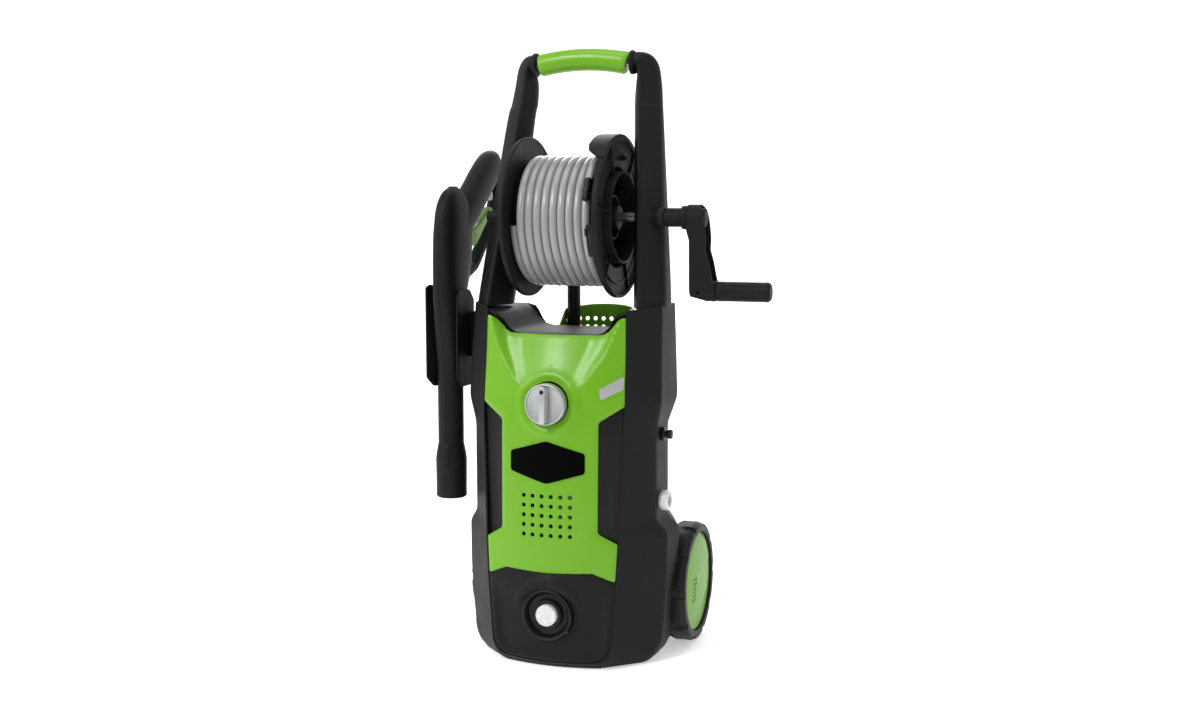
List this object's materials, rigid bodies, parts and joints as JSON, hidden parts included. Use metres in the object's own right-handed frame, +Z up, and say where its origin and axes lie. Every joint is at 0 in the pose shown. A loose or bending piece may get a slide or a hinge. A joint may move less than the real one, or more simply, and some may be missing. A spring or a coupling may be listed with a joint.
{
  "type": "pressure washer",
  "caption": "Upright electric pressure washer with a crank hose reel between two handle posts, two rear wheels, a spray gun in a side holder and an accessory basket behind.",
  "frame": {"origin": "middle of the flat underside, on the floor", "axes": "+X to the right seen from the front, +Y to the back, +Z up; the front faces -Y"},
  "size_m": [0.4983, 0.3145, 0.8781],
  "materials": {
    "green_plastic": "bright green moulded plastic, satin gloss",
    "black_plastic": "black moulded plastic with a fine texture",
    "dark_plastic": "darker smooth black plastic",
    "gloss_black": "plain black plate, satin gloss",
    "silver_plastic": "silver-grey painted plastic",
    "hose_grey": "light grey high-pressure hose cover, semi-gloss",
    "wheel_black": "black plastic wheel moulding with tread blocks",
    "hub_green": "muted green hub cap",
    "clear_plastic": "pale translucent plastic coupling",
    "steel": "bright steel",
    "aluminium": "cast aluminium",
    "brass": "machined brass",
    "copper_winding": "enamelled copper winding on laminated steel"
  },
  "bodies": {
    "body": {"front_panel": "green_plastic", "lower_front_panel": "black_plastic", "base_tray": "black_plastic", "rear_cover": "black_plastic", "top_deck": "black_plastic", "badge_plate": "gloss_black", "label_inlay": "silver_plastic", "outlet_bezel": "dark_plastic", "outlet_fitting": "clear_plastic", "switch_box": "dark_plastic", "side_shell_left": "black_plastic", "side_shell_right": "black_plastic", "side_insert_left": "dark_plastic", "side_insert_right": "dark_plastic", "post_left": "black_plastic", "post_right": "black_plastic", "axle_clip_left": "steel", "axle_clip_right": "steel", "wheel_axle": "steel", "handle_grip": "green_plastic", "handle_core": "steel", "lance_holder": "black_plastic", "water_inlet": "clear_plastic", "detergent_port": "dark_plastic", "inlet_pipe": "dark_plastic", "accessory_basket": "green_plastic", "cord_gland": "dark_plastic", "motor_can": "aluminium", "motor_cap": "dark_plastic", "motor_stator": "copper_winding", "gearbox_housing": "aluminium", "pump_head": "brass"},
    "left_wheel": {"wheel_left": "wheel_black", "hub_cap_left": "hub_green"},
    "right_wheel": {"wheel_right": "wheel_black", "hub_cap_right": "hub_green"},
    "reel": {"reel_axle": "steel", "reel_drum": "dark_plastic", "reel_flange_left": "black_plastic", "reel_flange_right": "black_plastic", "hose_winding": "hose_grey", "hose_fitting": "dark_plastic", "hose_clip": "dark_plastic", "crank_hub": "black_plastic", "crank_arm": "black_plastic", "crank_pin": "steel"},
    "crank_handle": {"crank_grip": "black_plastic"},
    "knob": {"power_knob": "silver_plastic"},
    "gun": {"gun_half_left": "black_plastic", "gun_half_right": "black_plastic", "gun_tube": "steel", "trigger_pin": "steel"},
    "trigger": {"gun_trigger": "green_plastic"},
    "trigger_latch": {"trigger_lock": "clear_plastic"},
    "nozzle": {"nozzle_sleeve": "black_plastic"},
    "stored_lance": {"spare_lance": "dark_plastic"},
    "cord_hook": {"cord_hook_upper": "black_plastic"},
    "rotor": {"motor_rotor": "steel", "motor_fan": "dark_plastic", "wobble_plate": "steel"}
  },
  "joints": [
    {"name": "left_wheel_spin", "type": "hinge", "parent": "body", "child": "left_wheel", "pos_m": [-0.15, 0.092, 0.089], "axis": [1, 0, 0], "continuous": true},
    {"name": "right_wheel_spin", "type": "hinge", "parent": "body", "child": "right_wheel", "pos_m": [0.15, 0.092, 0.089], "axis": [1, 0, 0], "continuous": true},
    {"name": "reel_spin", "type": "hinge", "parent": "body", "child": "reel", "pos_m": [0, 0, 0.635], "axis": [1, 0, 0], "continuous": true},
    {"name": "crank_grip_spin", "type": "hinge", "parent": "reel", "child": "crank_handle", "pos_m": [0.25, 0, 0.532], "axis": [1, 0, 0], "continuous": true},
    {"name": "power_knob_turn", "type": "hinge", "parent": "body", "child": "knob", "pos_m": [0, -0.115, 0.378], "axis": [0, 1, 0], "range_deg": [0, 90]},
    {"name": "gun_pull_out", "type": "slide", "parent": "body", "child": "gun", "axis": [0, -1, 0], "range_m": [0, 0.12]},
    {"name": "trigger_pull", "type": "hinge", "parent": "gun", "child": "trigger", "pos_m": [-0.1845, 0.026, 0.606], "axis": [1, 0, 0], "range_deg": [0, 8.5], "stiffness_Nm_per_rad": 0.6, "springref_deg": -2.86},
    {"name": "trigger_lock_swing", "type": "hinge", "parent": "gun", "child": "trigger_latch", "pos_m": [-0.1845, 0.1275, 0.669], "axis": [1, 0, 0], "range_deg": [-40, 0]},
    {"name": "nozzle_turn", "type": "hinge", "parent": "gun", "child": "nozzle", "pos_m": [-0.1845, -0.026, 0.26], "axis": [0, 0, 1], "range_deg": [0, 90]},
    {"name": "spare_lance_lift", "type": "slide", "parent": "body", "child": "stored_lance", "axis": [0, 0, 1], "range_m": [0, 0.12]},
    {"name": "cord_hook_turn", "type": "hinge", "parent": "body", "child": "cord_hook", "pos_m": [0, 0.09, 0.28], "axis": [0, 1, 0], "range_deg": [0, 180]},
    {"name": "rotor_spin", "type": "hinge", "parent": "body", "child": "rotor", "pos_m": [0, -0.005, 0.27], "axis": [0, 0, 1], "continuous": true}
  ]
}
